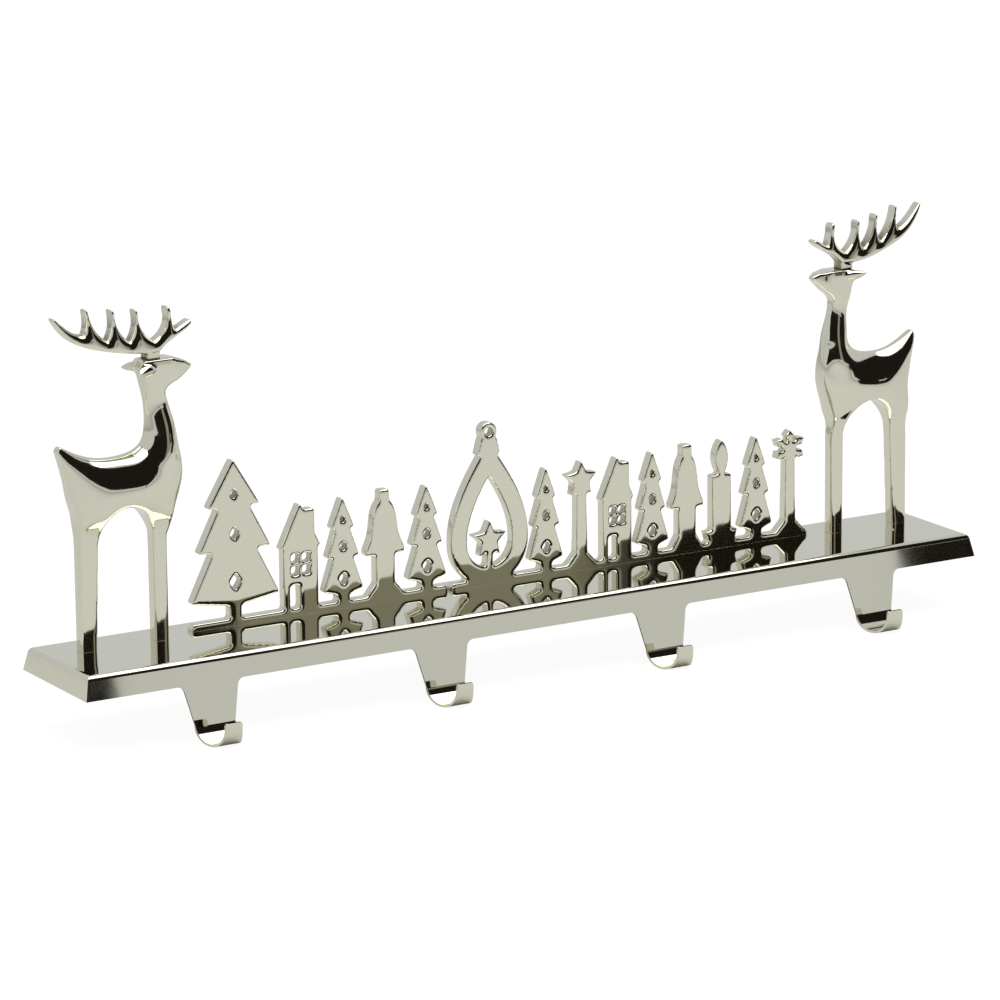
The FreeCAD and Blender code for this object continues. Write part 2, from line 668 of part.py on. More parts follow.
def reindeer(name, x, facing, side_of_tray):
    """One casting, stood on the tray at x and facing +X (1) or -X (-1), with sockets for screws and antlers.
    The two castings differ a little, so their own sizes are named by their side of the tray."""
    front = size(f"deer_{side_of_tray}_front")
    back = size(f"deer_{side_of_tray}_back")
    nose = size(f"deer_{side_of_tray}_nose")
    seat = size(f"antler_{side_of_tray}_seat")
    profile = deer_side_face(front, back, nose, size(f"deer_{side_of_tray}_nod"))
    side = extrusion(name + "_side", held(name + "_side_outline", profile), Vector(0, 1, 0),
                     "Sizes.body_thickness + 4", True)
    ahead = extrusion(name + "_front", held(name + "_front_outline", deer_front_face()), Vector(1, 0, 0),
                      "Sizes.deer_stance * 3", True)
    above = extrusion(name + "_plan", held(name + "_plan_outline", deer_plan_face(front, back, nose)),
                      Vector(0, 0, 1), "Sizes.deer_height * 1.1")
    upright_half = boolean("Part::Common", name + "_upright", side, ahead)
    trimmed_half = boolean("Part::Common", name + "_trimmed", upright_half, above)
    ear = ear_shape(front, size(f"ear_{side_of_tray}_tip_drop"))
    half = fused(name + "_half", [trimmed_half, held(name + "_ear", ear)])
    other = doc.addObject("Part::Mirroring", name + "_other_half")
    other.Source = half
    other.Normal = Vector(0, 1, 0)
    whole = fused(name + "_whole", [half, other])
    leg_socket = "Sizes.screw_radius + Sizes.thread_gap"
    sockets = fused(name + "_sockets", [
        post(name + "_tenon_socket", "Sizes.tenon_radius + Sizes.tenon_gap", "Sizes.tenon_length + 5", f"{seat}",
             "0", "Sizes.deer_height - Sizes.tenon_length - 0.3"),
        post(name + "_front_leg_socket", leg_socket, "Sizes.deer_screw_reach + 1.5", f"{front_leg_s}", "0", "-1"),
        post(name + "_rear_leg_socket", leg_socket, "Sizes.deer_screw_reach + 1.5", f"{rear_leg_s}", "0", "-1"),
    ])
    master = boolean("Part::Cut", name + "_master", whole, sockets)
    doc.recompute()
    shape = master.Shape.copy()
    if facing < 0:
        shape = shape.mirror(Vector(0, 0, 0), Vector(1, 0, 0))
    casting = held(name, shape)
    casting.Placement = FreeCAD.Placement(Vector(x, deer_y, top_z), FreeCAD.Rotation())


reindeer("reindeer_left", left_deer_x, 1, "left")
reindeer("reindeer_right", right_deer_x, -1, "right")


# Antler racks: a curved beam with four tines and a brow tine, on a stub and a tenon

def rack_face(front, back, sweep):
    """The rack from the side, the brow tine towards +X, drawn from the stub's seat.
    front and back are its reach each way from the stub, and sweep lifts its far end."""
    kz = size("antler_rise") / 26.0

    def rack(points):
        reached = []
        for x, z in points:
            share = max(0, -x - 12) / 40.6
            reached.append(Vector(x * (front / 21.2 if x > 0 else back / 52.6), 0, z * kz + sweep * share ** 1.3))
        return reached

    under = rack([(3.9, 2.6), (9.1, 6.8), (14.6, 9.7), (21.2, 14.3)])
    brow_tip = rack([(21.2, 14.3), (20.4, 15.3)])
    valleys = rack([(12.0, 10.8), (0.6, 6.6), (-12.2, 7.4), (-24.2, 9.1), (-36.2, 13.4)])
    tops = rack([(9.6, 22.4), (-8.0, 22.6), (-20.6, 23.9), (-34.4, 25.9)])
    peaks = rack([(7.8, 23.2), (-9.2, 23.6), (-21.9, 24.9), (-35.5, 26.4)])
    fronts = rack([(10.6, 15.2), (-5.4, 12.4), (-17.6, 13.2), (-30.6, 15.4)])
    backs = rack([(7.4, 13.2), (-9.1, 13.6), (-21.8, 14.4), (-34.9, 18.2)])
    far_tip = rack([(-52.6, 24.0), (-51.7, 21.9)])
    far_top = rack([(-36.2, 13.4), (-39.6, 14.2), (-43.9, 16.4), (-48.5, 20.2), (-52.6, 24.0)])
    belly = rack([(-51.7, 21.9), (-48.6, 17.3), (-44.6, 13.0), (-39.4, 9.6), (-32.6, 7.0), (-24.3, 4.8),
                  (-15.3, 3.0), (-7.6, 1.9), (-4.0, 1.5)])
    edges = [spline(under), line(*brow_tip), line(brow_tip[1], valleys[0])]
    for i in range(len(tops)):
        edges.append(spline([valleys[i], fronts[i], tops[i]]))
        edges.append(line(tops[i], peaks[i]))
        edges.append(spline([peaks[i], backs[i], valleys[i + 1]]))
    edges += [spline(far_top), line(*far_tip), spline(belly), line(belly[-1], under[0])]
    return face_of(edges)


def antlers(name, x, facing, side_of_tray):
    """One rack, seated on the head by its stub, with a tenon down into it."""
    pivot_x = x + facing * size(f"antler_{side_of_tray}_seat")
    face = rack_face(size(f"antler_{side_of_tray}_front"), size(f"antler_{side_of_tray}_back"),
                     size(f"antler_{side_of_tray}_sweep"))
    if facing < 0:
        face = face.mirror(Vector(0, 0, 0), Vector(1, 0, 0))
    profile = held(name + "_outline", face)
    profile.Placement = FreeCAD.Placement(Vector(pivot_x, deer_y, top_z + size("deer_height") + size("antler_lift")),
                                          FreeCAD.Rotation())
    plate = extrusion(name + "_plate", profile, Vector(0, 1, 0), "Sizes.antler_thickness", True)
    seat = f"{TOP} + Sizes.deer_height"
    stub = add("Part::Box", name + "_stub", Length="Sizes.stub_width", Width="Sizes.stub_thickness",
               Height="Sizes.antler_lift + 4",
               Placement__Base__x=f"{pivot_x} - Sizes.stub_width / 2",
               Placement__Base__y=f"{deer_y} - Sizes.stub_thickness / 2", Placement__Base__z=seat)
    tenon = post(name + "_tenon", "Sizes.tenon_radius", "Sizes.tenon_length + 1", f"{pivot_x}", f"{deer_y}",
                 f"{seat} - Sizes.tenon_length")
    fused(name + "_joined", [plate, stub, tenon], name)


antlers("antlers_left", left_deer_x, 1, "left")
antlers("antlers_right", right_deer_x, -1, "right")


# Screws and the holes that they pass through

def screw(name, x, y, reach):
    """A hexagon socket screw from below: head under the plate, shank up into a casting."""
    shank = post(name + "_shank", "Sizes.screw_radius", f"Sizes.sheet_gauge + {reach}", f"{x}", f"{y}", UNDER)
    head = post(name + "_head", "Sizes.screw_head_radius", "Sizes.screw_head_height", f"{x}", f"{y}",
                f"{UNDER} - Sizes.screw_head_height")
    socket = add("Part::Prism", name + "_socket", Circumradius="Sizes.screw_socket_radius",
                 Height="Sizes.screw_socket_depth + 1", Placement__Base__x=f"{x}", Placement__Base__y=f"{y}",
                 Placement__Base__z=f"{UNDER} - Sizes.screw_head_height - 1")
    return boolean("Part::Cut", name, fused(name + "_solid", [shank, head]), socket)


def screw_group(name, places, y, reach):
    screws = [screw(f"{name}_{i}", x, y, reach) for i, x in enumerate(places)]
    group = doc.addObject("Part::Compound", name + "_set")
    group.Links = screws
    group.Label = name


screw_group("figure_screws", deer_screws, deer_y, "Sizes.deer_screw_reach")
screw_group("frieze_screws", frieze_screws, frieze_mid_y, "Sizes.frieze_screw_reach")

holes = []
for i, (x, y) in enumerate([(x, deer_y) for x in deer_screws] + [(x, frieze_mid_y) for x in frieze_screws]):
    holes.append(post(f"tray_hole_{i}", "Sizes.screw_radius + Sizes.clearance_gap", "Sizes.sheet_gauge * 3",
                      f"{x}", f"{y}", f"{UNDER} - Sizes.sheet_gauge"))
boolean("Part::Cut", "tray_drilled", tray_blank, fused("tray_holes", holes), "base_tray")


# Rubber feet, glued under the plate: one at each corner and one in the middle

def foot(name, x, y):
    """A short plug with a chamfered sole; x and y are expressions."""
    plug = post(name + "_plug", "Sizes.foot_radius", UNDER + " - Sizes.foot_edge", x, y, "Sizes.foot_edge")
    sole = add("Part::Cone", name + "_sole", Radius1="Sizes.foot_radius - Sizes.foot_edge",
               Radius2="Sizes.foot_radius", Height="Sizes.foot_edge", Placement__Base__x=x, Placement__Base__y=y)
    fused(name + "_moulded", [plug, sole], name)


REACH_X = "(Sizes.tray_length / 2 - Sizes.foot_inset)"
REACH_Y = "(Sizes.tray_depth / 2 - Sizes.foot_inset)"
foot("foot_front_left", f"-{REACH_X}", f"-{REACH_Y}")
foot("foot_front_right", REACH_X, f"-{REACH_Y}")
foot("foot_back_left", f"-{REACH_X}", REACH_Y)
foot("foot_back_right", REACH_X, REACH_Y)
foot("foot_centre", "0", "0")
doc.recompute()


# Every object is sound before anything is written

NODES = ["base_tray", "reindeer_left", "reindeer_right", "antlers_left", "antlers_right", "frieze_left",
         "frieze_right", "figure_screws", "frieze_screws", "foot_front_left", "foot_front_right",
         "foot_back_left", "foot_back_right", "foot_centre"]

for obj in doc.Objects:
    if "Invalid" in obj.State or "Error" in obj.State:
        raise RuntimeError(f"{obj.Name} did not build: {obj.State}")

os.makedirs("parts", exist_ok=True)
for node in NODES:
    found = [obj for obj in doc.Objects if obj.Label == node]
    shape = found[0].Shape
    if shape.isNull() or not shape.isValid():
        raise RuntimeError(f"{node} is not a sound solid")
    print(node, "solids", len(shape.Solids), "volume", round(shape.Volume, 1), shape.BoundBox)
    shape.exportStep(f"parts/{node}.step")
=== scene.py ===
# %% [markdown]
# A mantel stocking holder in polished nickel: a folded tray with four curled hooks, two cast reindeer with
# antler racks, and a cut-out frieze between them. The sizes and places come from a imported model, the frame,
# so every piece below is made where the frame says, in metres, and nothing is moved afterwards.

# %% The frame and the measuring of its box
import math
import bmesh
import bpy
from mathutils import Matrix, Vector
from mathutils.kdtree import KDTree


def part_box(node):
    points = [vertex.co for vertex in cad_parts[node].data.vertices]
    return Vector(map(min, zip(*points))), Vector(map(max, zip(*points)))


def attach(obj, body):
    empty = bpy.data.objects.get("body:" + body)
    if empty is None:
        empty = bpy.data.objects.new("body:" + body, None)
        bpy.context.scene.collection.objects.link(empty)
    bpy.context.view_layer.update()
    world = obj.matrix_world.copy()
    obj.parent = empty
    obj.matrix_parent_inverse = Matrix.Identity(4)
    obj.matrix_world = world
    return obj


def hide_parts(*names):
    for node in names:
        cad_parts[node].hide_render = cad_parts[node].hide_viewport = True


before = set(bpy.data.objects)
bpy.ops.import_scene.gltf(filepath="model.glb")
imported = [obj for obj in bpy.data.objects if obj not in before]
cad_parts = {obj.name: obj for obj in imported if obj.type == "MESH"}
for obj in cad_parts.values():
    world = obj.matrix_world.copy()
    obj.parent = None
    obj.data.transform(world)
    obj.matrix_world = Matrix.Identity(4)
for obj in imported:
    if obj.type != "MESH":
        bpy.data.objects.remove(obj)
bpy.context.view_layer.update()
MM = 0.001
print("nodes:", sorted(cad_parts))


# %% [markdown]
# The photograph was taken with a long lens from the left, a little above the tray. A camera is placed by
# where it stands, which way it looks and how it is rolled. Those three angles and one position are the
# named values below, and a matrix of the camera's own axes turns them into a place in the scene.

# %% The camera
CAMERA_AT = Vector((-1.31382, -2.21230, 0.68751))
LOOK_TURN = math.radians(30.528)
LOOK_DOWN = math.radians(13.721)
LOOK_ROLL = math.radians(0.601)
LENS_MM = 187.05

forward = Vector((math.sin(LOOK_TURN) * math.cos(LOOK_DOWN), math.cos(LOOK_TURN) * math.cos(LOOK_DOWN),
                  -math.sin(LOOK_DOWN)))
level_right = Vector((math.cos(LOOK_TURN), -math.sin(LOOK_TURN), 0))
level_down = forward.cross(level_right)
right = math.cos(LOOK_ROLL) * level_right + math.sin(LOOK_ROLL) * level_down
down = math.cos(LOOK_ROLL) * level_down - math.sin(LOOK_ROLL) * level_right
camera_data = bpy.data.cameras.new("camera")
camera_data.lens = LENS_MM
camera = bpy.data.objects.new("camera", camera_data)
camera.matrix_world = Matrix.Translation(CAMERA_AT) @ Matrix((right, -down, -forward)).transposed().to_4x4()
bpy.context.collection.objects.link(camera)
bpy.context.scene.camera = camera
bpy.context.scene.view_settings.view_transform = "Standard"
print("camera", [round(v, 3) for v in camera.location], "lens", LENS_MM)


# %% [markdown]
# Polished metal has hardly any colour of its own, so its look is the room it stands in. This one has pale
# walls and a pale floor. The metal mirrors their paint, while the camera sees both as white, with just enough
# of the floor's own paint to keep the holder's shadow. A shader is a tree of nodes, so a few helpers come
# first that make a node and link its inputs in one line.

# %% The room: walls and floor
WALLS = (0.67, 0.69, 0.71, 1)
FLOOR_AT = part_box("base_tray")[0].z
FLOOR_HALF = 8.0
FLOOR_PAINT = (0.67, 0.665, 0.65, 1)
FLOOR_WHITE = 1.15
FLOOR_WHITE_SHARE = 0.8


def shader_tree(block):
    """The node tree of a material or a world, emptied."""
    block.use_nodes = True
    block.node_tree.nodes.clear()
    return block.node_tree


def node(tree, kind, inputs=(), **settings):
    """One node, its settings and its inputs: a value is typed in, and a socket of another node is linked."""
    made = tree.nodes.new(kind)
    for name, value in settings.items():
        setattr(made, name, value)
    for name, value in dict(inputs).items():
        if isinstance(value, bpy.types.NodeSocket):
            tree.links.new(value, made.inputs[name])
        else:
            made.inputs[name].default_value = value
    return made


def linked(obj):
    """Puts an object in the scene."""
    bpy.context.collection.objects.link(obj)
    return obj


world = bpy.data.worlds.new("studio")
bpy.context.scene.world = world
tree = shader_tree(world)
path = node(tree, "ShaderNodeLightPath")
walls = node(tree, "ShaderNodeBackground", {"Color": WALLS, "Strength": 1.0})
backdrop = node(tree, "ShaderNodeBackground", {"Color": (1, 1, 1, 1), "Strength": 1.0})
shown = node(tree, "ShaderNodeMixShader", {0: path.outputs["Is Camera Ray"], 1: walls.outputs[0],
                                           2: backdrop.outputs[0]})
node(tree, "ShaderNodeOutputWorld", {"Surface": shown.outputs[0]})


def card(name, centre, width, height, facing):
    """A flat rectangle that faces a point."""
    bm = bmesh.new()
    bmesh.ops.create_grid(bm, x_segments=1, y_segments=1, size=0.5)
    bmesh.ops.scale(bm, vec=(width, height, 1), verts=bm.verts)
    mesh = bpy.data.meshes.new(name)
    bm.to_mesh(mesh)
    bm.free()
    obj = bpy.data.objects.new(name, mesh)
    turn = (Vector(facing) - Vector(centre)).to_track_quat("Z", "Y")
    obj.matrix_world = Matrix.Translation(centre) @ turn.to_matrix().to_4x4()
    return linked(obj)


floor_paint = bpy.data.materials.new("floor_paint")
tree = shader_tree(floor_paint)
path = node(tree, "ShaderNodeLightPath")
matte = node(tree, "ShaderNodeBsdfDiffuse", {"Color": FLOOR_PAINT})
white = node(tree, "ShaderNodeEmission", {"Color": (1, 1, 1, 1), "Strength": FLOOR_WHITE})
share = node(tree, "ShaderNodeMath", {0: path.outputs["Is Camera Ray"], 1: FLOOR_WHITE_SHARE},
             operation="MULTIPLY")
seen = node(tree, "ShaderNodeMixShader", {0: share.outputs[0], 1: matte.outputs[0], 2: white.outputs[0]})
node(tree, "ShaderNodeOutputMaterial", {"Surface": seen.outputs[0]})
floor = card("floor", (0, 0, FLOOR_AT), 2 * FLOOR_HALF, 2 * FLOOR_HALF, (0, 0, 1))
floor.data.materials.append(floor_paint)
print("floor at", round(FLOOR_AT, 4))


# %% [markdown]
# A black curtain hangs round the front. It draws the crisp dark patches that show the form, and a grey
# stretch in it keeps the feet of the frieze from going black. It ends above the floor, so that upright faces
# mirror the pale floor below it, and a skirt closes that gap for faces that turn to the right. Each is one
# upright edge swept round an arc. They are only seen in the metal, so they never get in a camera's way.

# %% The curtain
CURTAIN_AT = Vector((0.1, 0, 0))
CURTAIN_RADIUS = 1.0
CURTAIN_FROM = math.radians(-60)
CURTAIN_TO = math.radians(75)
CURTAIN_LOW = 0.155
CURTAIN_HIGH = 1.25
SKIRT_FROM = math.radians(44)
SKIRT_LOW = 0.02
BLACK = (0.014, 0.011, 0.009, 1)
GREY = (0.30, 0.295, 0.25, 1)
GREY_FROM = (math.radians(14.0), math.radians(15.0))
GREY_TO = (math.radians(32.0), math.radians(28.0))
GREY_TOP = (0.42, 0.34)


def curtain_cloth():
    """Black cloth with a grey stretch low down, placed by its angle round the curtain and its height.
    Each edge of the stretch fades from the first of its two values to the second."""
    made = bpy.data.materials.new("curtain_cloth")
    tree = shader_tree(made)
    place = node(tree, "ShaderNodeTexCoord")
    at = node(tree, "ShaderNodeSeparateXYZ", {0: place.outputs["Object"]})
    outward = node(tree, "ShaderNodeMath", {0: at.outputs["Y"], 1: -1.0}, operation="MULTIPLY")
    angle = node(tree, "ShaderNodeMath", {0: at.outputs["X"], 1: outward.outputs[0]}, operation="ARCTAN2")
    mask = None
    for socket, (start, full) in ((angle.outputs[0], GREY_FROM), (angle.outputs[0], GREY_TO),
                                  (at.outputs["Z"], GREY_TOP)):
        edge = node(tree, "ShaderNodeMapRange", {"Value": socket, "From Min": start, "From Max": full})
        if mask is None:
            mask = edge.outputs["Result"]
        else:
            both = node(tree, "ShaderNodeMath", {0: mask, 1: edge.outputs["Result"]}, operation="MULTIPLY")
            mask = both.outputs[0]
    cloth = node(tree, "ShaderNodeMix", data_type="RGBA")
    tree.links.new(mask, cloth.inputs["Factor"])
    cloth.inputs["A"].default_value = BLACK
    cloth.inputs["B"].default_value = GREY
    glow = node(tree, "ShaderNodeEmission", {"Color": cloth.outputs["Result"], "Strength": 1.0})
    node(tree, "ShaderNodeOutputMaterial", {"Surface": glow.outputs[0]})
    return made


def only_in_metal(obj):
    """Hides an object from everything but reflections."""
    obj.visible_camera = False
    obj.visible_diffuse = False
    obj.visible_shadow = False


def hung(name, start, stop, low, high, material):
    """A cloth round the object's front, from one angle to another, between two heights."""
    bm = bmesh.new()
    foot = bm.verts.new((CURTAIN_RADIUS * math.sin(start), -CURTAIN_RADIUS * math.cos(start), low))
    top = bm.verts.new(foot.co + Vector((0, 0, high - low)))
    hem = bm.edges.new((foot, top))
    bmesh.ops.spin(bm, geom=[foot, top, hem], cent=(0, 0, 0), axis=(0, 0, 1), dvec=(0, 0, 0),
                   angle=stop - start, steps=64)
    mesh = bpy.data.meshes.new(name)
    bm.to_mesh(mesh)
    bm.free()
    cloth = linked(bpy.data.objects.new(name, mesh))
    cloth.location = CURTAIN_AT
    cloth.data.materials.append(material)
    only_in_metal(cloth)


black_curtain = curtain_cloth()
hung("curtain", CURTAIN_FROM, CURTAIN_TO, CURTAIN_LOW, CURTAIN_HIGH, black_curtain)
hung("curtain_skirt", SKIRT_FROM, CURTAIN_TO, SKIRT_LOW, CURTAIN_LOW, black_curtain)
print("curtain", CURTAIN_RADIUS, "m away, from", CURTAIN_LOW, "to", CURTAIN_HIGH, "m high")


# %% [markdown]
# Two low black cards put the dark patches at the two ends of the tray's front flange. One soft light hangs
# overhead. A polished top mirrors the lamp itself, so the lamp is a rectangle much larger than the tray.

# %% The cards and the overhead light
black = bpy.data.materials.new("black_card")
tree = shader_tree(black)
cloth = node(tree, "ShaderNodeEmission", {"Color": BLACK, "Strength": 1.0})
node(tree, "ShaderNodeOutputMaterial", {"Surface": cloth.outputs[0]})
CARDS = {
    "low_card": ((0.86, -0.70, 0.075), 0.34, 0.10),
    "corner_card": ((0.125, -0.86, 0.095), 0.034, 0.085),
}
for name, (centre, width, height) in CARDS.items():
    flag = card(name, centre, width, height, (0, 0, centre[2]))
    flag.data.materials.append(black)
    only_in_metal(flag)

SOFTBOX_AT = Vector((0.1, -0.2, 1.35))
SOFTBOX_LENGTH = 1.9
SOFTBOX_DEPTH = 1.3
SOFTBOX_WATTS = 14.5
softbox_data = bpy.data.lights.new("softbox", "AREA")
softbox_data.shape = "RECTANGLE"
softbox_data.size = SOFTBOX_LENGTH
softbox_data.size_y = SOFTBOX_DEPTH
softbox_data.energy = SOFTBOX_WATTS
softbox = linked(bpy.data.objects.new("softbox", softbox_data))
softbox.location = SOFTBOX_AT
print("cards:", sorted(CARDS), "and a light of", SOFTBOX_WATTS, "W")


# %% [markdown]
# Buffing leaves plated metal almost a mirror, with a faint haze that comes and goes, and castings keep a slow
# ripple under the polish that bends what they reflect. One node group makes the haze and the ripple, so each
# material only says how much of each it has.

# %% A node group: haze and ripple of buffed metal
def polish_group():
    """Two noises: a fine cloud that adds roughness, and a slow wave that becomes the height of a bump."""
    group = bpy.data.node_groups.new("buffed_surface", "ShaderNodeTree")
    for name, start in (("Haze", 0.03), ("Haze size", 40.0), ("Ripple", 0.1), ("Ripple size", 30.0),
                        ("Base roughness", 0.04)):
        socket = group.interface.new_socket(name, in_out="INPUT", socket_type="NodeSocketFloat")
        socket.default_value = start
    group.interface.new_socket("Roughness", in_out="OUTPUT", socket_type="NodeSocketFloat")
    group.interface.new_socket("Height", in_out="OUTPUT", socket_type="NodeSocketFloat")
    given = node(group, "NodeGroupInput")
    place = node(group, "ShaderNodeTexCoord")
    cloud = node(group, "ShaderNodeTexNoise", {"Vector": place.outputs["Object"],
                                               "Scale": given.outputs["Haze size"],
                                               "Detail": 3.0, "Roughness": 0.6})
    spread = node(group, "ShaderNodeMapRange", {"Value": cloud.outputs["Fac"],
                                                "From Min": 0.35, "From Max": 0.75,
                                                "To Min": 0.0, "To Max": 1.0})
    haze = node(group, "ShaderNodeMath", {0: spread.outputs["Result"], 1: given.outputs["Haze"],
                                          2: given.outputs["Base roughness"]}, operation="MULTIPLY_ADD")
    wave = node(group, "ShaderNodeTexNoise", {"Vector": place.outputs["Object"],
                                              "Scale": given.outputs["Ripple size"], "Detail": 0.0})
    ripple = node(group, "ShaderNodeMath", {0: wave.outputs["Fac"], 1: given.outputs["Ripple"]},
                  operation="MULTIPLY")
    node(group, "NodeGroupOutput", {"Roughness": haze.outputs[0], "Height": ripple.outputs[0]})
    return group


buffed_surface = polish_group()
print("group", buffed_surface.name, "with", len(buffed_surface.nodes), "nodes")


# %% [markdown]
# Nickel plate is a metal with a warm grey reflection, and the screws are plainer, duller steel. Where two
# surfaces meet in a tight corner, a brown-black painted shade is mixed into the metal's colour, standing in
# for the dark that such a corner mirrors. The mask for it is how enclosed a point is. The sheet shows none of
# it, the castings show some, and a rack is so branched that it darkens sooner and from further off.

# %% The metals
# The brown-black colour of the painted shade that darkens tight corners.
PAINTED_CORNER_SHADE = (0.13, 0.10, 0.065)
CORNER_FADE = 0.24


def plated(name, colour, haze, ripple, ripple_size, roughness, corner=0.0, tight=0.46, span=8.0 * MM):
    """A plated metal: its reflection colour, its share of haze and ripple, how strongly painted shade darkens
    tight corners, how open a corner may be for that, and from how far its walls count."""
    made = bpy.data.materials.new(name)
    tree = shader_tree(made)
    surface = node(tree, "ShaderNodeGroup", node_tree=buffed_surface)
    for key, value in (("Haze", haze), ("Ripple", ripple), ("Ripple size", ripple_size),
                       ("Base roughness", roughness)):
        surface.inputs[key].default_value = value
    bump = node(tree, "ShaderNodeBump", {"Height": surface.outputs["Height"], "Strength": 1.0,
                                         "Distance": MM})
    # Painted shade: tight corners are darkened towards a brown-black, by how enclosed each point is.
    enclosed = node(tree, "ShaderNodeAmbientOcclusion", {"Distance": span}, samples=8)
    corner_shade_mask = node(tree, "ShaderNodeMapRange", {"Value": enclosed.outputs["AO"],
                                              "From Min": tight, "From Max": tight - CORNER_FADE,
                                              "To Min": 0.0, "To Max": corner})
    corner_shaded_colour = node(tree, "ShaderNodeMix", {"Factor": corner_shade_mask.outputs["Result"]}, data_type="RGBA")
    corner_shaded_colour.inputs["A"].default_value = (*colour, 1)
    corner_shaded_colour.inputs["B"].default_value = (*PAINTED_CORNER_SHADE, 1)
    shader = node(tree, "ShaderNodeBsdfPrincipled", {"Base Color": corner_shaded_colour.outputs["Result"], "Metallic": 1.0,
                                                     "Roughness": surface.outputs["Roughness"],
                                                     "Normal": bump.outputs["Normal"]})
    node(tree, "ShaderNodeOutputMaterial", {"Surface": shader.outputs[0]})
    return made


NICKEL = (0.72, 0.70, 0.58)
sheet_nickel = plated("sheet_nickel", NICKEL, haze=0.03, ripple=0.05, ripple_size=9.0, roughness=0.03)
cast_nickel = plated("cast_nickel", NICKEL, haze=0.05, ripple=0.12, ripple_size=32.0, roughness=0.05,
                     corner=0.85)
rack_nickel = plated("rack_nickel", NICKEL, haze=0.05, ripple=0.12, ripple_size=32.0, roughness=0.05,
                     corner=0.9, tight=0.74, span=14.0 * MM)
STEEL = (0.55, 0.55, 0.56)
screw_steel = plated("turned_steel", STEEL, haze=0.12, ripple=0.02, ripple_size=200.0, roughness=0.22)
print("metals:", [metal.name for metal in (sheet_nickel, cast_nickel, rack_nickel, screw_steel)])


# %% [markdown]
# The feet are moulded in black rubber. It is matt, so all that shows is a fine grain and a sheen that is a
# little paler where the rubber curves away.

# %% The rubber of the feet
RUBBER = (0.03, 0.03, 0.03, 1)


def rubber_finish():
    """Matt black rubber, with its grain as a bump."""
    made = bpy.data.materials.new("black_rubber")
    tree = shader_tree(made)
    place = node(tree, "ShaderNodeTexCoord")
    grain = node(tree, "ShaderNodeTexNoise", {"Vector": place.outputs["Object"],
                                              "Scale": 900.0, "Detail": 2.0})
    bump = node(tree, "ShaderNodeBump", {"Height": grain.outputs["Fac"], "Strength": 0.4,
                                         "Distance": 0.1 * MM})
    shader = node(tree, "ShaderNodeBsdfPrincipled", {"Base Color": RUBBER, "Roughness": 0.75,
                                                     "Sheen Weight": 0.15, "Normal": bump.outputs["Normal"]})
    node(tree, "ShaderNodeOutputMaterial", {"Surface": shader.outputs[0]})
    return made


foot_rubber = rubber_finish()
print("rubber:", foot_rubber.name)


# %% [markdown]
# The pieces start from the same solids that the workshop would make, so their sizes and seats are kept. Each
# finished piece is a new object: it takes the solid's mesh, joins its loose corners into one closed skin and
# is worked on, and it rides on the same body and stands for the solid. The solids keep their own meshes.

# %% Helpers: a closed working copy, and a finished piece
WELD = 0.002 * MM
SLIVER = 0.001 * MM
FLAT = math.radians(0.4)


def closed_copy(name, dissolve=True):
    """The node's mesh as one closed skin in a bmesh; flat areas become single faces if dissolve is set."""
    bm = bmesh.new()
    bm.from_mesh(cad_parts[name].data)
    bmesh.ops.remove_doubles(bm, verts=bm.verts, dist=WELD)
    bmesh.ops.dissolve_degenerate(bm, edges=bm.edges, dist=SLIVER)
    bmesh.ops.recalc_face_normals(bm, faces=bm.faces)
    if dissolve:
        bmesh.ops.dissolve_limit(bm, angle_limit=FLAT, verts=bm.verts, edges=bm.edges)
    return bm


def finished(name, bm, material):
    """The piece made from a bmesh: it rides on root, stands for its CAD node and has its finish."""
    mesh = bpy.data.meshes.new(name)
    bm.to_mesh(mesh)
    bm.free()
    for face in mesh.polygons:
        face.use_smooth = True
    mesh.materials.append(material)
    piece = linked(bpy.data.objects.new(name, mesh))
    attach(piece, "root")
    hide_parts(name.removesuffix("_piece"))
    return piece


def applied(piece):
    """The piece with its modifiers made real, so that the mesh that is shown is the mesh that is kept."""
    graph = bpy.context.evaluated_depsgraph_get()
    made = bpy.data.meshes.new_from_object(piece.evaluated_get(graph), preserve_all_data_layers=True,
                                           depsgraph=graph)
    piece.modifiers.clear()
    piece.data = made
    return piece


# %% [markdown]
# A foundry's pattern is cut to its outlines, and then its flat sides are rasped into a dome and every edge is
# rounded until it looks poured. These helpers do the same to a mesh. It is turned into an even net of small
# faces, the net's sides are brought in towards the outline along a quarter ellipse, and the net is relaxed,
# and grown a little to win back what relaxing took off. Feet are first made a little longer and sawn off at
# the end, as a casting's runners are, so that they meet the tray on a crisp flat.

# %% Helpers: nets, relaxing and domed sides
RUNNER = 5 * MM
SOLE_DEPTH = 0.05 * MM
RIM_TURN = 0.6


def ramp(value, low, high):
    """0 below low, 1 above high and a smooth rise between."""
    share = min(1.0, max(0.0, (value - low) / (high - low)))
    return share * share * (3 - 2 * share)


def relax(piece, group, steps):
    """Moves each vertex to the middle of its neighbours, steps times, by its weight in the group."""
    change = piece.modifiers.new(f"relax_{group}", "SMOOTH")
    change.vertex_group = group
    change.factor = 1.0
    change.iterations = steps


def grow(piece, group, distance):
    """Moves the skin outwards, by its weight in the group."""
    change = piece.modifiers.new(f"grow_{group}", "DISPLACE")
    change.vertex_group = group
    change.mid_level = 0.0
    change.strength = distance


def netted(piece, spacing):
    """Turns the piece into an even net of small faces."""
    net = piece.modifiers.new("net", "REMESH")
    net.mode = "VOXEL"
    net.voxel_size = spacing
    net.adaptivity = 0.0
    net.use_smooth_shade = True
    return applied(piece)


def weighted(piece, name, weight):
    """Adds a vertex group whose weight comes from a function of a vertex's place."""
    group = piece.vertex_groups.new(name=name)
    for vertex in piece.data.vertices:
        value = weight(vertex.co)
        if value > 0.001:
            group.add([vertex.index], value, "REPLACE")


